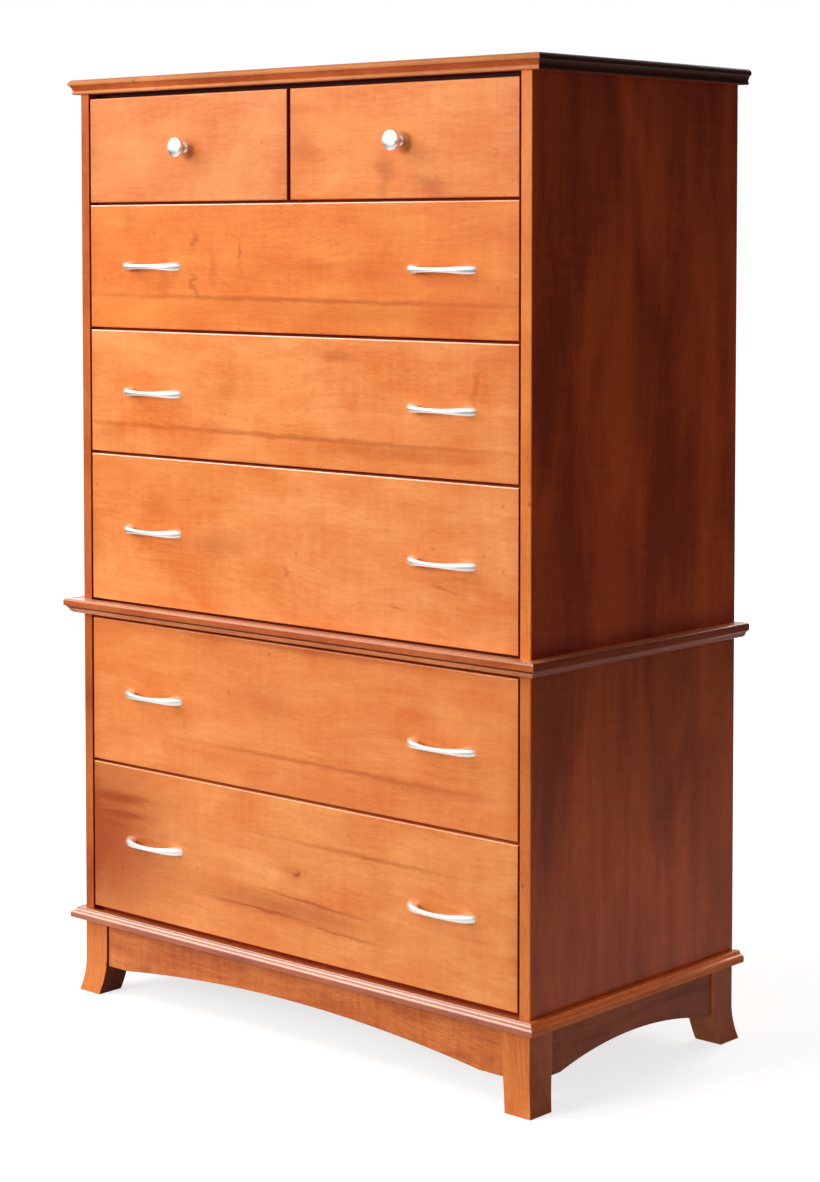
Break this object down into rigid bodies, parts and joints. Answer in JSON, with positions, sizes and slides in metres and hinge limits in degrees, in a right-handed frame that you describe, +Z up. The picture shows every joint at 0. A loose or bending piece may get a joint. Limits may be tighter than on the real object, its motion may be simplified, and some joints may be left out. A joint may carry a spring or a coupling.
{
  "type": "chest on chest",
  "caption": "Tall wooden chest on chest with mitred mouldings, sabre legs, an arched skirt, small drawers over wide ones, and satin nickel knobs and bow pulls.",
  "frame": {"origin": "on the floor under the middle of the whole chest, pulls and toes included", "axes": "+Z up, the drawers open towards -Y, +X to the right of someone who faces them"},
  "size_m": [0.993, 0.5286, 1.495],
  "materials": {
    "case_wood": "reddish brown stain under satin lacquer, grain upright",
    "moulding_wood": "reddish brown stain under satin lacquer, grain lengthwise",
    "front_wood": "reddish brown stain under satin lacquer, grain across the chest",
    "inner_wood": "clear finish, unstained",
    "panel_wood": "thin plywood, clear finish",
    "nickel": "satin nickel plate"
  },
  "bodies": {
    "case": {"leg_front_left": "case_wood", "leg_front_right": "case_wood", "leg_rear_left": "case_wood", "leg_rear_right": "case_wood", "skirt_front": "case_wood", "skirt_left": "case_wood", "skirt_right": "case_wood", "skirt_rear": "case_wood", "lower_side_left": "case_wood", "lower_side_right": "case_wood", "upper_side_left": "case_wood", "upper_side_right": "case_wood", "base_moulding": "moulding_wood", "waist_moulding": "moulding_wood", "crown_moulding": "moulding_wood", "top_board": "moulding_wood", "corner_braces": "inner_wood", "partition": "inner_wood", "drawer_guides": "inner_wood", "lower_bottom_frame": "inner_wood", "lower_middle_frame": "inner_wood", "lower_top_frame": "inner_wood", "upper_bottom_frame": "inner_wood", "upper_low_frame": "inner_wood", "upper_middle_frame": "inner_wood", "upper_high_frame": "inner_wood", "upper_top_frame": "inner_wood", "lower_back": "panel_wood", "upper_back": "panel_wood"},
    "top_left_drawer": {"top_left_drawer_front": "front_wood", "top_left_drawer_box": "inner_wood", "top_left_drawer_bottom": "panel_wood", "top_left_drawer_hardware": "nickel"},
    "top_right_drawer": {"top_right_drawer_front": "front_wood", "top_right_drawer_box": "inner_wood", "top_right_drawer_bottom": "panel_wood", "top_right_drawer_hardware": "nickel"},
    "second_drawer": {"second_drawer_front": "front_wood", "second_drawer_box": "inner_wood", "second_drawer_bottom": "panel_wood", "second_drawer_hardware": "nickel"},
    "third_drawer": {"third_drawer_front": "front_wood", "third_drawer_box": "inner_wood", "third_drawer_bottom": "panel_wood", "third_drawer_hardware": "nickel"},
    "fourth_drawer": {"fourth_drawer_front": "front_wood", "fourth_drawer_box": "inner_wood", "fourth_drawer_bottom": "panel_wood", "fourth_drawer_hardware": "nickel"},
    "fifth_drawer": {"fifth_drawer_front": "front_wood", "fifth_drawer_box": "inner_wood", "fifth_drawer_bottom": "panel_wood", "fifth_drawer_hardware": "nickel"},
    "sixth_drawer": {"sixth_drawer_front": "front_wood", "sixth_drawer_box": "inner_wood", "sixth_drawer_bottom": "panel_wood", "sixth_drawer_hardware": "nickel"}
  },
  "joints": [
    {"name": "top_left_drawer_slide", "type": "slide", "parent": "case", "child": "top_left_drawer", "axis": [0, -1, 0], "range_m": [0, 0.36]},
    {"name": "top_right_drawer_slide", "type": "slide", "parent": "case", "child": "top_right_drawer", "axis": [0, -1, 0], "range_m": [0, 0.36]},
    {"name": "second_drawer_slide", "type": "slide", "parent": "case", "child": "second_drawer", "axis": [0, -1, 0], "range_m": [0, 0.36]},
    {"name": "third_drawer_slide", "type": "slide", "parent": "case", "child": "third_drawer", "axis": [0, -1, 0], "range_m": [0, 0.36]},
    {"name": "fourth_drawer_slide", "type": "slide", "parent": "case", "child": "fourth_drawer", "axis": [0, -1, 0], "range_m": [0, 0.36]},
    {"name": "fifth_drawer_slide", "type": "slide", "parent": "case", "child": "fifth_drawer", "axis": [0, -1, 0], "range_m": [0, 0.36]},
    {"name": "sixth_drawer_slide", "type": "slide", "parent": "case", "child": "sixth_drawer", "axis": [0, -1, 0], "range_m": [0, 0.36]}
  ]
}
